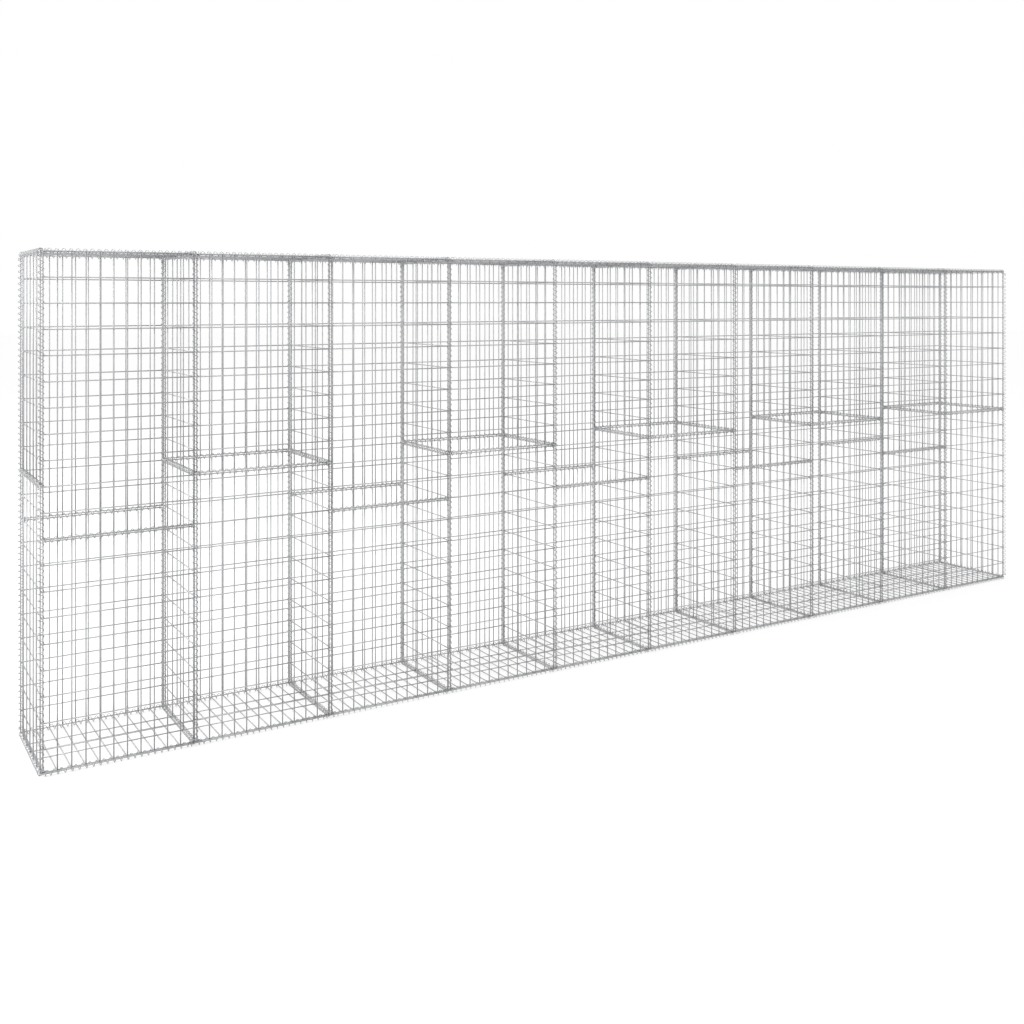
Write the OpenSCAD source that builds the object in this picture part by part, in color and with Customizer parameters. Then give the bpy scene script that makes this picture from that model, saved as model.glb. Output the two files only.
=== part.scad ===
// Gabion wall: ten empty welded-mesh baskets in a row, laced into one wall with spiral binders.
//
// Frame: +X along the wall, the front face towards -Y, +Z up. The origin lies on the ground in
// the middle of the wall. Heights of rows and seams are counted from the plane of the base mesh,
// which the base binders carry one binder radius above the ground.

/* [Wall] */
// Number of baskets in the row
bay_count = 10; // [2:1:16]
// Width of one basket, from one cross frame to the next
bay_w = 588; // [400:1:1000]
// Depth of the wall, from the front mesh to the back mesh
wall_depth = 493; // [300:1:1000]
// Height of the wall, from the base mesh to the cover mesh
wall_h = 1993; // [1300:1:3000]

/* [Mesh] */
// Diameter of the mesh wire
wire_d = 5; // [3:0.1:6]
// Height of the first row of the upright meshes
first_row = 92; // [60:1:150]
// Height between two rows of the upright meshes
row_pitch = 100; // [75:5:200]
// Uprights of one front or back mesh, both edge wires included
face_uprights = 12; // [4:1:20]
// Uprights of one end mesh, both edge wires included
end_uprights = 7; // [4:1:12]
// Spacing of the uprights of a divider mesh, counted from the front mesh
divider_pitch = 168; // [100:1:240]
// Long wires of one base or cover mesh between its two edge wires
inner_long_wires = 3; // [1:1:5]
// Spacing of those long wires about the middle of the depth
long_wire_pitch = 89; // [40:1:120]
// Build every wire (1), or every second or third wire between the edges
built_step = 2; // [1:1:3]

/* [Seams] */
// Height of the seam in the front and back meshes of the odd bays
low_seam = 888; // [300:1:1000]
// Height of the seam in the even bays and in every cross mesh
high_seam = 1096; // [600:1:1250]

/* [Binders] */
// Thickness of a spiral binder's wall round the edge wires that it laces
binder_wall = 1.5; // [1:0.1:4]
// Length of the closed ring at each end of a binder
binder_ring = 20; // [10:1:30]
// Gap between pieces that pass close by each other
clearance = 0.3; // [0.2:0.05:0.5]

/* [Hidden] */
// Side of the square bar with the same cross-section as the round wire, to the hundredth
bar = round(100 * wire_d * sqrt(PI) / 2) / 100;
// From a corner line to the edge wire beside it: edge wires at a corner stay apart
edge_inset = 1.5 * bar + clearance;
// From a level seam to the edge wire above or below it
seam_inset = bar;
// The bore takes the edge wires that meet at a corner, up to the next tenth of a millimetre
bore_r = ceil(10 * (norm([edge_inset + bar / 2, bar]) + clearance)) / 10;
binder_r = bore_r + binder_wall;
// Slot along a binder, wide enough for either layer of a mesh
slot_w = 2 * (bar + clearance);
// Free length at each end of an edge, where the binders of a corner meet
corner_gap = binder_r + clearance;

wall_l = bay_count * bay_w;
base_z = binder_r;
front_y = -wall_depth / 2;
back_y = wall_depth / 2;
// The least gap between an edge wire and the wire next to it
wire_margin = row_pitch / 4;
bore_facets = 48;

mesh_colour = "silver";
binder_colour = "gainsboro";

function frame_x(frame) = -wall_l / 2 + frame * bay_w;
function last(list) = list[len(list) - 1];
function number(bay) = str(bay < 10 ? "0" : "", bay);
function is_odd(bay) = bay % 2 == 1;
function face_seam(bay) = is_odd(bay) ? low_seam : high_seam;

function spread(from, to, count) =
  [for (i = [0 : count - 1]) from + (to - from) * i / (count - 1)];
function thinned(list) =
  [for (i = [0 : len(list) - 1]) if (min(i, len(list) - 1 - i) % built_step == 0) list[i]];

// Places of the wires across one bay, and along the depth of an end and of a divider
bay_wires = thinned(spread(edge_inset, bay_w - edge_inset, face_uprights));
end_wires = thinned(spread(edge_inset, wall_depth - edge_inset, end_uprights));
divider_wires = [
  edge_inset,
  each [for (k = [1 : floor((wall_depth - wire_margin) / divider_pitch)]) k * divider_pitch],
  wall_depth - edge_inset
];
long_wires = [
  edge_inset,
  each [for (i = [0 : inner_long_wires - 1])
    wall_depth / 2 + (i - (inner_long_wires - 1) / 2) * long_wire_pitch],
  wall_depth - edge_inset
];
// Heights of the level wires of a mesh, from its bottom edge wire to its top one
function rows(bottom, top) = [
  bottom,
  each [for (k = [first_index(bottom + wire_margin) : floor(row_index(top - wire_margin))])
    if (k % built_step == 0) first_row + k * row_pitch],
  top
];
// Where a height falls among the rows, 0 being the first row
function row_index(height) = (height - first_row) / row_pitch;
function first_index(height) = max(0, ceil(row_index(height)));

BAYS = [1 : bay_count];
FRAMES = [0 : bay_count];
HALVES = [
  ["left", 1, floor(bay_count / 2)],
  ["right", floor(bay_count / 2) + 1, bay_count]
];
BINDER_NODES = [
  "front_upright_binders", "back_upright_binders",
  "front_base_binders", "back_base_binders", "cross_base_binders",
  "front_cover_binders", "back_cover_binders", "cross_cover_binders",
  "front_seam_binders", "back_seam_binders", "cross_seam_binders"
];
function cross_name(frame) =
  frame == 0 ? "left_end_mesh"
  : frame == bay_count ? "right_end_mesh"
  : str("divider_mesh_", number(frame));

// Welded mesh in the XZ plane: upright bars at xs behind the plane, rows at zs in front of it
module mesh(xs, zs) {
  color(mesh_colour) union() {
    for (x = xs)
      translate([x - bar / 2, 0, zs[0] - bar / 2])
        cube([bar, bar, last(zs) - zs[0] + bar]);
    for (z = zs)
      translate([xs[0] - bar / 2, -bar, z - bar / 2])
        cube([last(xs) - xs[0] + bar, bar, bar]);
  }
}

// Two meshes one above the other, which meet at a seam and reach the base and cover planes
module mesh_pair(xs, seam) {
  mesh(xs, rows(0, seam - seam_inset));
  mesh(xs, rows(seam + seam_inset, wall_h));
}

module front_mesh(bay) {
  translate([frame_x(bay - 1), front_y, base_z]) mesh_pair(bay_wires, face_seam(bay));
}

module back_mesh(bay) {
  translate([frame_x(bay - 1), back_y, base_z])
    mirror([0, 1, 0]) mesh_pair(bay_wires, face_seam(bay));
}

module cross_mesh(frame) {
  wires = frame == 0 || frame == bay_count ? end_wires : divider_wires;
  translate([frame_x(frame), front_y, base_z]) rotate([0, 0, 90]) mesh_pair(wires, high_seam);
}

// Flat meshes over the bays of one half of the wall, from the plane of their long wires: these
// lie on the inner side and the cross wires on the outer side
module flat_meshes(half) {
  for (bay = [half[1] : half[2]])
    translate([frame_x(bay - 1), 0, 0]) mesh(bay_wires, long_wires);
}

module base_mesh(half) {
  translate([0, back_y, base_z]) rotate([90, 0, 0]) mirror([0, 1, 0]) flat_meshes(half);
}

module cover_mesh(half) {
  translate([0, back_y, base_z + wall_h]) rotate([90, 0, 0]) flat_meshes(half);
}

// Envelope of a spiral binder along +Z, slotted at the given angles where mesh wires enter it
module binder(length, slots) {
  color(binder_colour) difference() {
    linear_extrude(length) difference() {
      rotate(180 / 8) circle(r = binder_r / cos(180 / 8), $fn = 8);
      circle(r = bore_r, $fn = bore_facets);
    }
    for (angle = slots)
      rotate(angle) translate([0, -slot_w / 2, binder_ring])
        cube([2 * binder_r, slot_w, length - 2 * binder_ring]);
  }
}

// Slots towards the neighbouring bays: the end frames have a bay on one side only
function bay_slots(frame) =
  [if (frame < bay_count) 0, if (frame > 0) 180];

module upright_binders(y, inward) {
  for (frame = FRAMES)
    translate([frame_x(frame), y, base_z + corner_gap])
      binder(wall_h - 2 * corner_gap, concat(bay_slots(frame), [inward]));
}

// Binders along X in every bay, at a height that may change from bay to bay
module long_binders(y, heights, slots) {
  for (bay = BAYS)
    translate([frame_x(bay - 1) + corner_gap, y, base_z + heights[bay - 1]])
      rotate([0, 90, 0]) binder(bay_w - 2 * corner_gap, slots);
}

// Binders along Y in every cross frame
module cross_binders(height, slots, joins_bays) {
  for (frame = FRAMES)
    translate([frame_x(frame), front_y + corner_gap, base_z + height])
      rotate([-90, 0, 0])
        binder(wall_depth - 2 * corner_gap, concat(joins_bays ? bay_slots(frame) : [], slots));
}

// Angles of the slots round a binder that lies along X, and round one that lies along Y
X_DOWN = 0;
X_BACK = 90;
X_UP = 180;
X_FRONT = 270;
Y_DOWN = 90;
Y_UP = 270;

base_heights = [for (bay = BAYS) 0];
cover_heights = [for (bay = BAYS) wall_h];
seam_heights = [for (bay = BAYS) face_seam(bay)];

module binders(name) {
  if (name == "front_upright_binders") upright_binders(front_y, 90);
  if (name == "back_upright_binders") upright_binders(back_y, 270);
  if (name == "front_base_binders") long_binders(front_y, base_heights, [X_UP, X_BACK]);
  if (name == "back_base_binders") long_binders(back_y, base_heights, [X_UP, X_FRONT]);
  if (name == "cross_base_binders") cross_binders(0, [Y_UP], true);
  if (name == "front_cover_binders") long_binders(front_y, cover_heights, [X_DOWN, X_BACK]);
  if (name == "back_cover_binders") long_binders(back_y, cover_heights, [X_DOWN, X_FRONT]);
  if (name == "cross_cover_binders") cross_binders(wall_h, [Y_DOWN], true);
  if (name == "front_seam_binders") long_binders(front_y, seam_heights, [X_UP, X_DOWN]);
  if (name == "back_seam_binders") long_binders(back_y, seam_heights, [X_UP, X_DOWN]);
  if (name == "cross_seam_binders") cross_binders(high_seam, [Y_UP, Y_DOWN], false);
}

for (bay = BAYS) {
  front_mesh(bay);
  back_mesh(bay);
}
for (frame = FRAMES)
  cross_mesh(frame);
for (half = HALVES) {
  base_mesh(half);
  cover_mesh(half);
}
for (name = BINDER_NODES)
  binders(name);
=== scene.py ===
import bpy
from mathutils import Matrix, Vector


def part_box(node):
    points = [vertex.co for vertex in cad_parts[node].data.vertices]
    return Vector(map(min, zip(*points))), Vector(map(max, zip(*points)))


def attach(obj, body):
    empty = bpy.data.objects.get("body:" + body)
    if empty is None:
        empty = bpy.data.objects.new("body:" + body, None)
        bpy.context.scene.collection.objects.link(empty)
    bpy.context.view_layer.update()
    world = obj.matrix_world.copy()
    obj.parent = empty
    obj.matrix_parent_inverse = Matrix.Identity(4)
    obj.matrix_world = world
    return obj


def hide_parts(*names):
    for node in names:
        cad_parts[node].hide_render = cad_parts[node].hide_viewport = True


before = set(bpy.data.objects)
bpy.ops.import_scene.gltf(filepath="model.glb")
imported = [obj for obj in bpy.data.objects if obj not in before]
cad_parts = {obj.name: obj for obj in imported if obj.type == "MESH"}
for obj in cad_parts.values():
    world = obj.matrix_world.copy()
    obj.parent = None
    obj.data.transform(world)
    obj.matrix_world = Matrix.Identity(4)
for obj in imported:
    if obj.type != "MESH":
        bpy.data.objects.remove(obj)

"""Visual model of a gabion wall: welded wire meshes laced together with spiral binders."""

import logging
import math
from dataclasses import dataclass, field
from enum import Enum
from typing import Any, Iterable, Sequence

import bmesh
import bpy
from mathutils import Euler, Matrix, Vector

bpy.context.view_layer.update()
LOG = logging.getLogger("gabion_wall")

MM = 0.001
WALL_BODY = "root"
WHITE = (1.0, 1.0, 1.0, 1.0)

# From straight down or straight up to where a cross binder passes a mesh wire, in degrees
CROSS_LEAN = 130.0


class Axis(Enum):
    """The direction that a spiral binder runs in, with the turn that takes +Z to it."""

    X = ("Y", 90.0)
    Y = ("X", -90.0)
    Z = ("Z", 0.0)

    def turn(self) -> Matrix:
        """The rotation that lays a spiral made along +Z in this direction."""
        about, degrees = self.value
        return Matrix.Rotation(math.radians(degrees), 4, about)


class Heading(Enum):
    """The side of its axis on which a spiral passes a mesh wire, in degrees about the axis."""

    X_FRONT_AND_DOWN = 315.0
    X_BACK_AND_DOWN = 45.0
    X_FRONT_AND_UP = 225.0
    X_BACK_AND_UP = 135.0
    X_FRONT = 270.0
    X_BACK = 90.0
    Y_BELOW = 90.0 - CROSS_LEAN
    Y_ABOVE = 270.0 + CROSS_LEAN
    Y_SIDE = 0.0
    Z_FRONT = 270.0
    Z_BACK = 90.0


# ---------------------------------------------------------------- sizes


def centre(node: str, axis: int) -> float:
    """The middle of a construction node's box along one axis."""
    low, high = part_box(node)
    return (low[axis] + high[axis]) / 2


def extent(node: str, axis: int) -> float:
    """The length of a construction node's box along one axis."""
    low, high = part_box(node)
    return high[axis] - low[axis]


@dataclass(frozen=True)
class WallSizes:
    """The wall's planes and wire sizes, read from the construction model."""

    bays: int
    left_x: float
    bay_w: float
    front_y: float
    back_y: float
    base_z: float
    cover_z: float
    low_seam: float
    high_seam: float
    bar: float
    binder_r: float

    @classmethod
    def from_frame(cls) -> "WallSizes":
        """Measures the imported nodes.

        Returns:
            The wall's sizes in metres.
        """
        bays = sum(name.startswith("front_mesh_bay_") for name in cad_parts)
        left_x, right_x = centre("left_end_mesh", 0), centre("right_end_mesh", 0)
        binder_r = extent("front_base_binders", 2) / 2
        seam_low, seam_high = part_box("front_seam_binders")
        base_z = centre("front_base_binders", 2)
        return cls(
            bays=bays,
            left_x=left_x,
            bay_w=(right_x - left_x) / bays,
            front_y=centre("front_base_binders", 1),
            back_y=centre("back_base_binders", 1),
            base_z=base_z,
            cover_z=centre("front_cover_binders", 2),
            low_seam=seam_low[2] + binder_r - base_z,
            high_seam=seam_high[2] - binder_r - base_z,
            bar=extent("front_mesh_bay_01", 1) / 2,
            binder_r=binder_r,
        )

    @property
    def depth(self) -> float:
        """From the front plane to the back plane."""
        return self.back_y - self.front_y

    @property
    def height(self) -> float:
        """From the base plane to the cover plane."""
        return self.cover_z - self.base_z

    @property
    def wire_r(self) -> float:
        """Radius of the round wire with the cross-section of the construction bar."""
        return self.bar / math.sqrt(math.pi)

    @property
    def edge_inset(self) -> float:
        """From a corner or seam line to the edge wire beside it."""
        low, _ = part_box("front_mesh_bay_01")
        return low[0] - self.left_x + self.bar / 2

    @property
    def seam_inset(self) -> float:
        """From a level seam to the edge wire above or below it."""
        return self.bar

    @property
    def corner_gap(self) -> float:
        """From the corner of a basket to the end of the binders that meet there."""
        low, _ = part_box("front_base_binders")
        return low[0] - self.left_x

    def frame_x(self, index: int) -> float:
        """Where the cross frame with this number stands, 0 being the left end."""
        return self.left_x + index * self.bay_w

    def face_seam(self, bay: int) -> float:
        """Height of the seam in a bay's front and back meshes, above the base plane."""
        return self.low_seam if bay % 2 == 1 else self.high_seam


@dataclass(frozen=True)
class MeshPattern:
    """How the mesh wires are spaced."""

    first_row: float = 92 * MM
    row_pitch: float = 100 * MM
    face_uprights: int = 12
    end_uprights: int = 7
    divider_pitch: float = 168 * MM
    inner_long_wires: int = 3
    long_wire_pitch: float = 89 * MM

    def spread(self, low: float, high: float, count: int) -> list[float]:
        """Evenly spaced places from low to high, both included."""
        return [low + (high - low) * i / (count - 1) for i in range(count)]

    @property
    def wire_margin(self) -> float:
        """The least gap between an edge wire and the wire next to it."""
        return self.row_pitch / 4

    def rows(self, bottom: float, top: float) -> list[float]:
        """Heights of a panel's level wires above the base plane.

        Args:
            bottom: Height of the bottom edge wire.
            top: Height of the top edge wire.

        Returns:
            The heights of the edge wires and the rows between them, lowest first.
        """
        first = math.ceil((bottom + self.wire_margin - self.first_row) / self.row_pitch)
        last = math.floor((top - self.wire_margin - self.first_row) / self.row_pitch)
        inner = [self.first_row + k * self.row_pitch for k in range(max(0, first), last + 1)]
        return [bottom, *inner, top]

    def divider_wires(self, depth: float, inset: float) -> list[float]:
        """Places of a divider's uprights across the wall's depth."""
        count = math.floor((depth - self.wire_margin) / self.divider_pitch)
        return [inset, *(k * self.divider_pitch for k in range(1, count + 1)), depth - inset]

    def long_wires(self, depth: float, inset: float) -> list[float]:
        """Places of a base or cover mesh's long wires across the wall's depth.

        Args:
            depth: The wall's depth.
            inset: From a corner line to the edge wire beside it.

        Returns:
            The places of both edge wires and of the wires between them.
        """
        middle = (self.inner_long_wires - 1) / 2
        offsets = [(i - middle) * self.long_wire_pitch for i in range(self.inner_long_wires)]
        return [inset, *(depth / 2 + offset for offset in offsets), depth - inset]


# ---------------------------------------------------------------- shader maths


@dataclass(frozen=True)
class Value:
    """A number that varies over a surface: a socket whose operators add Math nodes."""

    shader: "Shader"
    socket: bpy.types.NodeSocket

    def math(self, operation: str, *others: "Value | float", flipped: bool = False) -> "Value":
        """One Math node on this value.

        Args:
            operation: The Math node's operation.
            others: The other operands.
            flipped: True when this value is the second operand.

        Returns:
            The result.
        """
        operands = [self, *others]
        if flipped:
            operands.reverse()
        made = self.shader.node("ShaderNodeMath", {"operation": operation}, dict(enumerate(operands)))
        return Value(self.shader, made.outputs[0])

    def __add__(self, other: "Value | float") -> "Value":
        """The sum."""
        return self.math("ADD", other)

    __radd__ = __add__

    def __mul__(self, other: "Value | float") -> "Value":
        """The product."""
        return self.math("MULTIPLY", other)

    __rmul__ = __mul__

    def __sub__(self, other: "Value | float") -> "Value":
        """The difference."""
        return self.math("SUBTRACT", other)

    def __rsub__(self, other: float) -> "Value":
        """The difference with this value taken away."""
        return self.math("SUBTRACT", other, flipped=True)

    def clamped(self) -> "Value":
        """The value kept from 0 to 1."""
        return self.math("MAXIMUM", 0.0).math("MINIMUM", 1.0)


class Shader:
    """Builds the node tree of one material or world."""

    def __init__(self, owner: bpy.types.Material | bpy.types.World) -> None:
        """Empties the owner's node tree.

        Args:
            owner: The new material or world.
        """
        owner.use_nodes = True
        self.owner = owner
        self.tree = owner.node_tree
        self.tree.nodes.clear()

    def node(
        self, kind: str, settings: dict[str, Any] | None = None, sockets: dict[Any, Any] | None = None
    ) -> bpy.types.Node:
        """Adds one node: its settings are set first, then its sockets are filled or linked.

        Args:
            kind: The node's type.
            settings: Properties of the node.
            sockets: Numbers, colours, sockets or Values by the name or number of the input.

        Returns:
            The node.
        """
        made = self.tree.nodes.new(kind)
        for key, setting in (settings or {}).items():
            setattr(made, key, setting)
        for key, given in (sockets or {}).items():
            if isinstance(given, Value):
                self.tree.links.new(given.socket, made.inputs[key])
            elif isinstance(given, bpy.types.NodeSocket):
                self.tree.links.new(given, made.inputs[key])
            else:
                made.inputs[key].default_value = given
        return made

    def value(self, kind: str, output: str, settings: dict[str, Any], sockets: dict[Any, Any]) -> Value:
        """Adds a node and wraps one of its outputs."""
        return Value(self, self.node(kind, settings, sockets).outputs[output])

    def blend(self, mask: Value, low: Sequence[float], high: Sequence[float]) -> bpy.types.NodeSocket:
        """A colour between two others.

        Args:
            mask: 0 for the first colour, 1 for the second.
            low: The first colour, RGBA.
            high: The second colour, RGBA.

        Returns:
            The mixed colour's socket.
        """
        mixer = self.node(
            "ShaderNodeMix", {"data_type": "RGBA"}, {"Factor": mask, 6: tuple(low), 7: tuple(high)}
        )
        return mixer.outputs[2]

    def seen_directly(self) -> Value:
        """1 for camera, glossy and transmission rays, and 0 for the rays that only light.

        Returns:
            The mask.
        """
        rays = self.node("ShaderNodeLightPath")
        seen = Value(self, rays.outputs["Is Camera Ray"])
        for kind in ("Is Glossy Ray", "Is Transmission Ray"):
            seen = seen.math("MAXIMUM", Value(self, rays.outputs[kind]))
        return seen

    def finish(self, output: str, surface: bpy.types.NodeSocket) -> bpy.types.Material | bpy.types.World:
        """Links the surface to an output node of the given type and returns the owner."""
        self.node(output, None, {"Surface": surface})
        return self.owner


@dataclass(frozen=True)
class Galvanised:
    """Hot-dip zinc on drawn wire: soft spangle, dull patches and a fine grain.

    dull and bright are the zinc's colours, and spangle, patch and grain the sizes of a crystal,
    of a dull patch and of the drawing marks. The mask between the colours is spangle_share of
    the crystals and patch_share of the patches, less mask_drop.
    """

    name: str
    dull: tuple[float, float, float]
    bright: tuple[float, float, float]
    metallic: float = 0.85
    smoothest: float = 0.46
    roughest: float = 0.66
    spangle: float = 9 * MM
    patch: float = 160 * MM
    grain: float = 0.7 * MM
    grain_depth: float = 0.02 * MM
    grain_strength: float = 0.6
    spangle_share: float = 0.45
    patch_share: float = 0.9
    mask_drop: float = 0.18
    patch_detail: float = 3.0
    patch_roughness: float = 0.55
    grain_detail: float = 2.0
    grain_roughness: float = 0.6

    def material(self) -> bpy.types.Material:
        """Builds the material on Object coordinates.

        Returns:
            The material.
        """
        shader = Shader(bpy.data.materials.new(self.name))
        place = shader.node("ShaderNodeTexCoord").outputs["Object"]
        crystals = shader.value(
            "ShaderNodeTexVoronoi", "Color", {"feature": "F1"},
            {"Vector": place, "Scale": 1 / self.spangle, "Randomness": 1.0},
        )
        patches = shader.value(
            "ShaderNodeTexNoise", "Fac", {},
            {
                "Vector": place,
                "Scale": 1 / self.patch,
                "Detail": self.patch_detail,
                "Roughness": self.patch_roughness,
            },
        )
        drawn = shader.value(
            "ShaderNodeTexNoise", "Fac", {},
            {
                "Vector": place,
                "Scale": 1 / self.grain,
                "Detail": self.grain_detail,
                "Roughness": self.grain_roughness,
            },
        )
        spangled = shader.value("ShaderNodeRGBToBW", "Val", {}, {"Color": crystals})
        mask = (spangled * self.spangle_share + patches * self.patch_share - self.mask_drop).clamped()
        rough = self.smoothest + (1.0 - mask) * (self.roughest - self.smoothest)
        bump = shader.node(
            "ShaderNodeBump", {},
            {"Strength": self.grain_strength, "Distance": self.grain_depth, "Height": drawn},
        )
        zinc = shader.node(
            "ShaderNodeBsdfPrincipled", {},
            {
                "Base Color": shader.blend(mask, (*self.dull, 1.0), (*self.bright, 1.0)),
                "Metallic": self.metallic,
                "Roughness": rough,
                "Normal": bump.outputs["Normal"],
            },
        )
        return shader.finish("ShaderNodeOutputMaterial", zinc.outputs["BSDF"])


MESH_ZINC = Galvanised("mesh_zinc", dull=(0.45, 0.455, 0.46), bright=(0.60, 0.605, 0.615))
BINDER_ZINC = Galvanised(
    "binder_zinc", dull=(0.44, 0.445, 0.45), bright=(0.60, 0.605, 0.615), spangle=6 * MM
)


# ---------------------------------------------------------------- wire shapes


def piece_from(bm: bmesh.types.BMesh, name: str, material: bpy.types.Material) -> bpy.types.Object:
    """Turns a finished bmesh into an object at the origin.

    Args:
        bm: The shape, which is freed.
        name: The object's name.
        material: Its material.

    Returns:
        The object, linked to the scene.
    """
    data = bpy.data.meshes.new(name)
    bm.to_mesh(data)
    bm.free()
    data.materials.append(material)
    made = bpy.data.objects.new(name, data)
    bpy.context.scene.collection.objects.link(made)
    return made


def stand_for(piece: bpy.types.Object, node: str) -> None:
    """Rides a piece on the wall in place of a construction node.

    Args:
        piece: The visual piece.
        node: The construction node that it replaces.
    """
    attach(piece, WALL_BODY)
    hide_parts(node)
    LOG.info("%s: %d faces for %s", piece.name, len(piece.data.polygons), node)


def add_wire(bm: bmesh.types.BMesh, start: Vector, end: Vector, radius: float, sides: int) -> None:
    """Adds a straight round wire with closed ends.

    Args:
        bm: The bmesh that takes it.
        start: Centre of one end.
        end: Centre of the other end.
        radius: The wire's radius.
        sides: Faces round the wire.
    """
    along = end - start
    turn = along.to_track_quat("Z", "Y").to_matrix().to_4x4()
    made = bmesh.ops.create_cone(
        bm, cap_ends=True, segments=sides, radius1=radius, radius2=radius, depth=along.length,
        matrix=Matrix.Translation((start + end) / 2) @ turn,
    )
    for face in {face for vert in made["verts"] for face in vert.link_faces}:
        face.smooth = len(face.verts) == 4


@dataclass(frozen=True)
class Plane:
    """The plane of a mesh, with the directions across it, up it and through it."""

    origin: Vector
    across: Vector
    up: Vector
    through: Vector

    def point(self, across: float, up: float, through: float) -> Vector:
        """A point by its distances from the origin."""
        return self.origin + across * self.across + up * self.up + through * self.through


@dataclass
class WeldedMesh:
    """One flat panel: uprights on one side of its plane and rows on the other, welded.

    weld_r and weld_h are the radius and the height of the collar at a spot weld.
    """

    plane: Plane
    uprights: Sequence[float]
    rows: Sequence[float]
    bar: float
    wire_r: float
    wire_sides: int = 10
    weld_r: float = 2.6 * MM
    weld_h: float = 1.4 * MM
    weld_sides: int = 6

    def build(self, bm: bmesh.types.BMesh) -> None:
        """Adds the panel's wires and welds.

        Args:
            bm: The bmesh that takes them.
        """
        side = self.bar / 2
        low, high = self.rows[0] - self.wire_r, self.rows[-1] + self.wire_r
        for u in self.uprights:
            ends = self.plane.point(u, low, side), self.plane.point(u, high, side)
            add_wire(bm, *ends, self.wire_r, self.wire_sides)
        left, right = self.uprights[0] - self.wire_r, self.uprights[-1] + self.wire_r
        for v in self.rows:
            ends = self.plane.point(left, v, -side), self.plane.point(right, v, -side)
            add_wire(bm, *ends, self.wire_r, self.wire_sides)
        for u in self.uprights:
            for v in self.rows:
                self.add_weld(bm, u, v)

    def add_weld(self, bm: bmesh.types.BMesh, u: float, v: float) -> None:
        """Adds the squeezed-out collar of one spot weld.

        Args:
            bm: The bmesh that takes it.
            u: Place of the upright.
            v: Height of the row.
        """
        half = self.weld_h / 2
        ends = self.plane.point(u, v, -half), self.plane.point(u, v, half)
        add_wire(bm, *ends, self.weld_r, self.weld_sides)


# ---------------------------------------------------------------- panels


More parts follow.
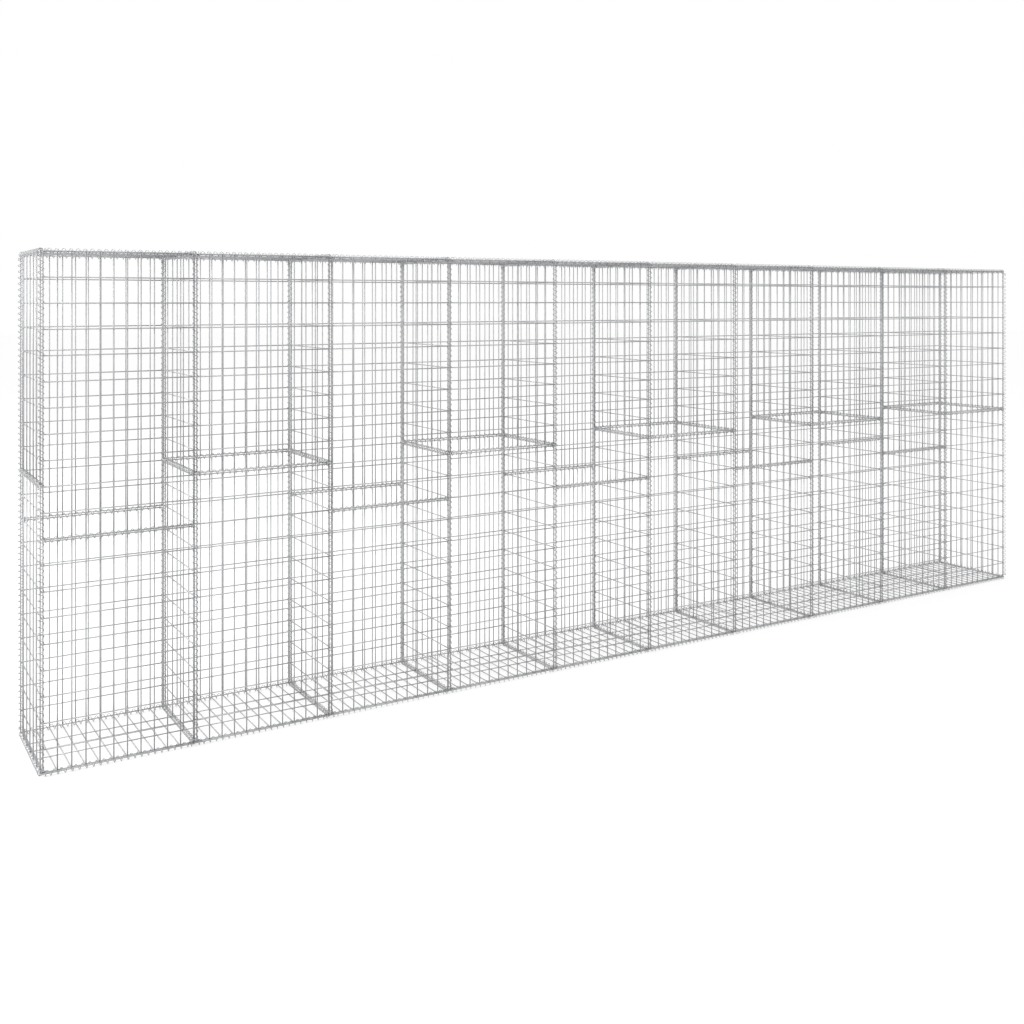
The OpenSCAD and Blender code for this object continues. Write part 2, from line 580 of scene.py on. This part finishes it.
@dataclass
class MeshPanels:
    """All the welded meshes of the wall."""

    sizes: WallSizes
    pattern: MeshPattern
    finish: bpy.types.Material
    bay_wires: list[float] = field(init=False)
    end_wires: list[float] = field(init=False)
    divider_wires: list[float] = field(init=False)
    long_wires: list[float] = field(init=False)

    def __post_init__(self) -> None:
        """Works out the wire places that every bay shares."""
        inset = self.sizes.edge_inset
        spread = self.pattern.spread
        self.bay_wires = spread(inset, self.sizes.bay_w - inset, self.pattern.face_uprights)
        self.end_wires = spread(inset, self.sizes.depth - inset, self.pattern.end_uprights)
        self.divider_wires = self.pattern.divider_wires(self.sizes.depth, inset)
        self.long_wires = self.pattern.long_wires(self.sizes.depth, inset)

    def panel(self, plane: Plane, uprights: Sequence[float], rows: Sequence[float]) -> WeldedMesh:
        """A welded panel with this wall's wire."""
        return WeldedMesh(plane, uprights, rows, self.sizes.bar, self.sizes.wire_r)

    def pair(self, plane: Plane, uprights: Sequence[float], seam: float) -> list[WeldedMesh]:
        """A lower and an upper panel that meet at a seam.

        Args:
            plane: The plane of both.
            uprights: Places of the uprights.
            seam: Height of the seam above the base plane.

        Returns:
            The two panels.
        """
        inset = self.sizes.seam_inset
        halves = [(0.0, seam - inset), (seam + inset, self.sizes.height)]
        return [self.panel(plane, uprights, self.pattern.rows(*ends)) for ends in halves]

    def make(self, node: str, panels: Iterable[WeldedMesh]) -> None:
        """Builds panels into one piece.

        Args:
            node: The construction node that it stands for.
            panels: The node's panels.
        """
        bm = bmesh.new()
        for panel in panels:
            panel.build(bm)
        stand_for(piece_from(bm, f"{node}_wires", self.finish), node)

    def build(self) -> None:
        """Builds the faces, cross meshes, base and covers."""
        for bay in range(1, self.sizes.bays + 1):
            self.build_faces(bay)
        for index in range(self.sizes.bays + 1):
            self.build_cross(index)
        middle = self.sizes.bays // 2
        self.build_flat("left", range(1, middle + 1))
        self.build_flat("right", range(middle + 1, self.sizes.bays + 1))

    def build_faces(self, bay: int) -> None:
        """Builds one bay's front and back meshes, with their uprights on the inner side.

        Args:
            bay: The bay's number, from 1 at the left.
        """
        sizes = self.sizes
        x = sizes.frame_x(bay - 1)
        right, up, back = Vector((1, 0, 0)), Vector((0, 0, 1)), Vector((0, 1, 0))
        front_plane = Plane(Vector((x, sizes.front_y, sizes.base_z)), right, up, back)
        back_plane = Plane(Vector((x, sizes.back_y, sizes.base_z)), right, up, -back)
        seam = sizes.face_seam(bay)
        self.make(f"front_mesh_bay_{bay:02d}", self.pair(front_plane, self.bay_wires, seam))
        self.make(f"back_mesh_bay_{bay:02d}", self.pair(back_plane, self.bay_wires, seam))

    def build_cross(self, index: int) -> None:
        """Builds an end mesh or a divider mesh.

        Args:
            index: The cross frame's number, from 0 at the left end.
        """
        sizes = self.sizes
        plane = Plane(
            Vector((sizes.frame_x(index), sizes.front_y, sizes.base_z)),
            Vector((0, 1, 0)), Vector((0, 0, 1)), Vector((-1, 0, 0)),
        )
        ends = {0: "left_end_mesh", sizes.bays: "right_end_mesh"}
        node = ends.get(index, f"divider_mesh_{index:02d}")
        wires = self.end_wires if index in ends else self.divider_wires
        self.make(node, self.pair(plane, wires, sizes.high_seam))

    def build_flat(self, half: str, bays: range) -> None:
        """Builds the base and cover meshes of half the wall, one panel to a bay.

        Args:
            half: The half's name.
            bays: Numbers of its bays.
        """
        sizes = self.sizes
        right, front, up = Vector((1, 0, 0)), Vector((0, -1, 0)), Vector((0, 0, 1))
        for name, z, through in (("base", sizes.base_z, -up), ("cover", sizes.cover_z, up)):
            planes = [
                Plane(Vector((sizes.frame_x(bay - 1), sizes.back_y, z)), right, front, through)
                for bay in bays
            ]
            panels = [self.panel(plane, self.bay_wires, self.long_wires) for plane in planes]
            self.make(f"{name}_mesh_{half}", panels)


# ---------------------------------------------------------------- spiral binders


@dataclass(frozen=True)
class Run:
    """One binder's place: where it starts, its axis and its length."""

    start: Vector
    axis: Axis
    length: float


@dataclass(frozen=True)
class SpiralWire:
    """A helix of round wire with a close turn at each end, made along +Z from the origin.

    pitch is the rise of one open turn, outer_r the radius that the wire's outside reaches, and
    close_share the rise of a close turn in wire diameters.
    """

    length: float
    pitch: float
    outer_r: float
    wire_r: float
    steps_per_turn: int = 12
    wire_sides: int = 6
    close_share: float = 1.1

    @property
    def close_rise(self) -> float:
        """Rise of the close turn at each end, a little over the wire's diameter."""
        return 2 * self.wire_r * self.close_share

    @property
    def open_start(self) -> float:
        """Where the open turns begin, at the same angle as the wire's end."""
        return self.wire_r + self.close_rise

    def mesh(self) -> bpy.types.Mesh:
        """Spins a tilted ring up the close and open turns, and closes both ends.

        Returns:
            The wire's mesh.
        """
        radius = self.outer_r - self.wire_r
        open_rise = self.length - 2 * self.open_start
        lead = math.atan2(self.pitch, 2 * math.pi * radius)
        tilt = Matrix.Rotation(lead - math.pi / 2, 4, "X")
        bm = bmesh.new()
        ring = bmesh.ops.create_circle(
            bm, cap_ends=False, segments=self.wire_sides, radius=self.wire_r,
            matrix=Matrix.Translation((radius, 0, self.wire_r)) @ tilt,
        )
        end = ring["verts"] + list(bm.edges)
        close_turn, open_turns = (1.0, self.close_rise), (open_rise / self.pitch, open_rise)
        for turns, rise in (close_turn, open_turns, close_turn):
            steps = math.ceil(turns * self.steps_per_turn)
            spun = bmesh.ops.spin(
                bm, geom=end, cent=(0, 0, 0), axis=(0, 0, 1), dvec=(0, 0, rise / steps),
                angle=2 * math.pi * turns, steps=steps, use_merge=False, use_duplicate=False,
            )
            end = spun["geom_last"]
        bmesh.ops.holes_fill(bm, edges=[edge for edge in bm.edges if edge.is_boundary], sides=0)
        bmesh.ops.recalc_face_normals(bm, faces=bm.faces)
        for face in bm.faces:
            face.smooth = len(face.verts) == 4
        data = bpy.data.meshes.new("spiral")
        bm.to_mesh(data)
        bm.free()
        return data


@dataclass
class SpiralBinders:
    """The spiral wires that lace the meshes along every edge and seam."""

    sizes: WallSizes
    pattern: MeshPattern
    finish: bpy.types.Material
    wire_r: float = 1.5 * MM
    upright_turns_per_row: int = 4
    long_turns_per_gap: int = 2
    cross_turns_per_gap: int = 3

    def upright_pitch(self) -> float:
        """Rise of an upright binder's turn: whole turns between two rows."""
        return self.pattern.row_pitch / self.upright_turns_per_row

    def long_pitch(self) -> float:
        """Rise of a long binder's turn: whole turns between two uprights."""
        span = self.sizes.bay_w - 2 * self.sizes.edge_inset
        return span / (self.pattern.face_uprights - 1) / self.long_turns_per_gap

    def cross_pitch(self) -> float:
        """Rise of a cross binder's turn: whole turns between two uprights of an end."""
        span = self.sizes.depth - 2 * self.sizes.edge_inset
        return span / (self.pattern.end_uprights - 1) / self.cross_turns_per_gap

    def make(self, node: str, runs: Sequence[Run], pitch: float, anchor: float, heading: Heading) -> None:
        """Builds like binders into one piece.

        Args:
            node: The construction node that they stand for.
            runs: Where they lie; all are equally long.
            pitch: Rise of one turn.
            anchor: From a binder's start to a mesh wire that it passes.
            heading: The side on which it passes that wire.
        """
        wire = SpiralWire(runs[0].length, pitch, self.sizes.binder_r, self.wire_r)
        phase = math.radians(heading.value) - 2 * math.pi * (anchor - wire.open_start) / pitch
        phase_turn = Matrix.Rotation(phase, 4, "Z")
        spiral = wire.mesh()
        bm = bmesh.new()
        for run in runs:
            laid = spiral.copy()
            laid.transform(Matrix.Translation(run.start) @ run.axis.turn() @ phase_turn)
            bm.from_mesh(laid)
            bpy.data.meshes.remove(laid)
        bpy.data.meshes.remove(spiral)
        stand_for(piece_from(bm, f"{node}_spirals", self.finish), node)

    def build(self) -> None:
        """Builds the binders of every edge and seam."""
        sizes = self.sizes
        base, cover = [0.0] * sizes.bays, [sizes.height] * sizes.bays
        seams = [sizes.face_seam(bay) for bay in range(1, sizes.bays + 1)]
        self.build_upright("front_upright_binders", sizes.front_y, Heading.Z_FRONT)
        self.build_upright("back_upright_binders", sizes.back_y, Heading.Z_BACK)
        self.build_long("front_base_binders", sizes.front_y, base, Heading.X_FRONT_AND_DOWN)
        self.build_long("back_base_binders", sizes.back_y, base, Heading.X_BACK_AND_DOWN)
        self.build_long("front_cover_binders", sizes.front_y, cover, Heading.X_FRONT_AND_UP)
        self.build_long("back_cover_binders", sizes.back_y, cover, Heading.X_BACK_AND_UP)
        self.build_long("front_seam_binders", sizes.front_y, seams, Heading.X_FRONT)
        self.build_long("back_seam_binders", sizes.back_y, seams, Heading.X_BACK)
        self.build_cross("cross_base_binders", 0.0, Heading.Y_BELOW)
        self.build_cross("cross_cover_binders", sizes.height, Heading.Y_ABOVE)
        self.build_cross("cross_seam_binders", sizes.high_seam, Heading.Y_SIDE)

    def build_upright(self, node: str, y: float, heading: Heading) -> None:
        """Builds the binders up one face, one to a cross frame.

        Args:
            node: The construction node that they stand for.
            y: Where the face is.
            heading: The side on which they pass the first row.
        """
        sizes, gap = self.sizes, self.sizes.corner_gap
        starts = [Vector((sizes.frame_x(i), y, sizes.base_z + gap)) for i in range(sizes.bays + 1)]
        runs = [Run(start, Axis.Z, sizes.height - 2 * gap) for start in starts]
        self.make(node, runs, self.upright_pitch(), self.pattern.first_row - gap, heading)

    def build_long(self, node: str, y: float, heights: Sequence[float], heading: Heading) -> None:
        """Builds the binders along one long edge or seam, one to a bay.

        Args:
            node: The construction node that they stand for.
            y: Where the edge is.
            heights: The height in each bay above the base plane.
            heading: The side on which they pass the first upright.
        """
        sizes, gap = self.sizes, self.sizes.corner_gap
        starts = [Vector((sizes.frame_x(i) + gap, y, sizes.base_z + z)) for i, z in enumerate(heights)]
        runs = [Run(start, Axis.X, sizes.bay_w - 2 * gap) for start in starts]
        self.make(node, runs, self.long_pitch(), sizes.edge_inset - gap, heading)

    def build_cross(self, node: str, height: float, heading: Heading) -> None:
        """Builds the binders through the wall at one height, one to a cross frame.

        Args:
            node: The construction node that they stand for.
            height: The height above the base plane.
            heading: The side on which they pass the first upright.
        """
        sizes, gap = self.sizes, self.sizes.corner_gap
        y, z = sizes.front_y + gap, sizes.base_z + height
        starts = [Vector((sizes.frame_x(i), y, z)) for i in range(sizes.bays + 1)]
        runs = [Run(start, Axis.Y, sizes.depth - 2 * gap) for start in starts]
        self.make(node, runs, self.cross_pitch(), sizes.edge_inset - gap, heading)


# ---------------------------------------------------------------- studio


@dataclass(frozen=True)
class Studio:
    """A white floor and world, two soft lamps and a level camera at standing height."""

    floor_size: float = 120.0
    world_strength: float = 0.78
    floor_colour: float = 0.42
    floor_glow: float = 0.66
    key_energy: float = 620.0
    key_size: float = 9.0
    key_place: tuple[float, float, float] = (-7.0, 2.0, 7.0)
    fill_energy: float = 60.0
    fill_size: float = 9.0
    fill_place: tuple[float, float, float] = (8.5, 7.0, 8.0)
    aim_place: tuple[float, float, float] = (0.0, 0.0, 1.0)
    camera_place: tuple[float, float, float] = (-3.673, -4.848, 1.813)
    camera_turn: float = -31.66
    lens: float = 39.76
    shift_up: float = -0.2062
    clip_end: float = 200.0

    def build(self) -> None:
        """Sets up the world, floor, lamps and camera."""
        scene = bpy.context.scene
        scene.view_settings.view_transform = "Standard"
        scene.world = self.white_world()
        self.add_floor()
        self.add_lamp("key_lamp", self.key_place, self.key_size, self.key_energy)
        self.add_lamp("fill_lamp", self.fill_place, self.fill_size, self.fill_energy)
        scene.camera = self.add_camera()

    def white_world(self) -> bpy.types.World:
        """A world that the camera and metal see as plain white, and that lights more softly.

        Returns:
            The world.
        """
        shader = Shader(bpy.data.worlds.new("studio"))
        lighting = shader.node(
            "ShaderNodeBackground", {}, {"Color": WHITE, "Strength": self.world_strength}
        )
        backdrop = shader.node("ShaderNodeBackground", {}, {"Color": WHITE, "Strength": 1.0})
        mixed = shader.node(
            "ShaderNodeMixShader", {},
            {0: shader.seen_directly(), 1: lighting.outputs[0], 2: backdrop.outputs[0]},
        )
        return shader.finish("ShaderNodeOutputWorld", mixed.outputs[0])

    def floor_material(self) -> bpy.types.Material:
        """Matt white that glows to the camera up to white, and keeps its shadows.

        Returns:
            The material.
        """
        shader = Shader(bpy.data.materials.new("studio_floor"))
        glow = shader.node(
            "ShaderNodeEmission", {},
            {"Color": WHITE, "Strength": shader.seen_directly() * self.floor_glow},
        )
        grey = self.floor_colour
        matt = shader.node("ShaderNodeBsdfDiffuse", {}, {"Color": (grey, grey, grey, 1.0)})
        both = shader.node("ShaderNodeAddShader", {}, {0: glow.outputs[0], 1: matt.outputs[0]})
        return shader.finish("ShaderNodeOutputMaterial", both.outputs[0])

    def add_floor(self) -> None:
        """Lays the floor that the wall stands on."""
        bm = bmesh.new()
        bmesh.ops.create_grid(bm, x_segments=1, y_segments=1, size=self.floor_size / 2)
        piece_from(bm, "studio_floor", self.floor_material())

    def add_lamp(self, name: str, place: tuple[float, float, float], size: float, energy: float) -> None:
        """Adds a square lamp that faces the wall's middle.

        Args:
            name: The lamp's name.
            place: Where it hangs.
            size: Its side.
            energy: Its power in watts.
        """
        data = bpy.data.lights.new(name, "AREA")
        data.size, data.energy = size, energy
        lamp = bpy.data.objects.new(name, data)
        lamp.location = place
        aim = Vector(self.aim_place) - Vector(place)
        lamp.rotation_euler = aim.to_track_quat("-Z", "Y").to_euler()
        bpy.context.scene.collection.objects.link(lamp)

    def add_camera(self) -> bpy.types.Object:
        """Adds a level camera near the wall's left front corner.

        Returns:
            The camera.
        """
        data = bpy.data.cameras.new("camera")
        data.lens, data.shift_y = self.lens, self.shift_up
        data.clip_end = self.clip_end
        camera = bpy.data.objects.new("camera", data)
        camera.location = self.camera_place
        camera.rotation_euler = Euler((math.radians(90.0), 0.0, math.radians(self.camera_turn)))
        bpy.context.scene.collection.objects.link(camera)
        return camera


def main() -> None:
    """Builds the wall and the studio."""
    logging.basicConfig(level=logging.INFO, format="%(name)s: %(message)s")
    sizes, pattern = WallSizes.from_frame(), MeshPattern()
    LOG.info("%d bays of %.3f m", sizes.bays, sizes.bay_w)
    LOG.info("%.3f m deep and %.3f m high", sizes.depth, sizes.height)
    MeshPanels(sizes, pattern, MESH_ZINC.material()).build()
    SpiralBinders(sizes, pattern, BINDER_ZINC.material()).build()
    Studio().build()


if __name__ == "__main__":
    main()
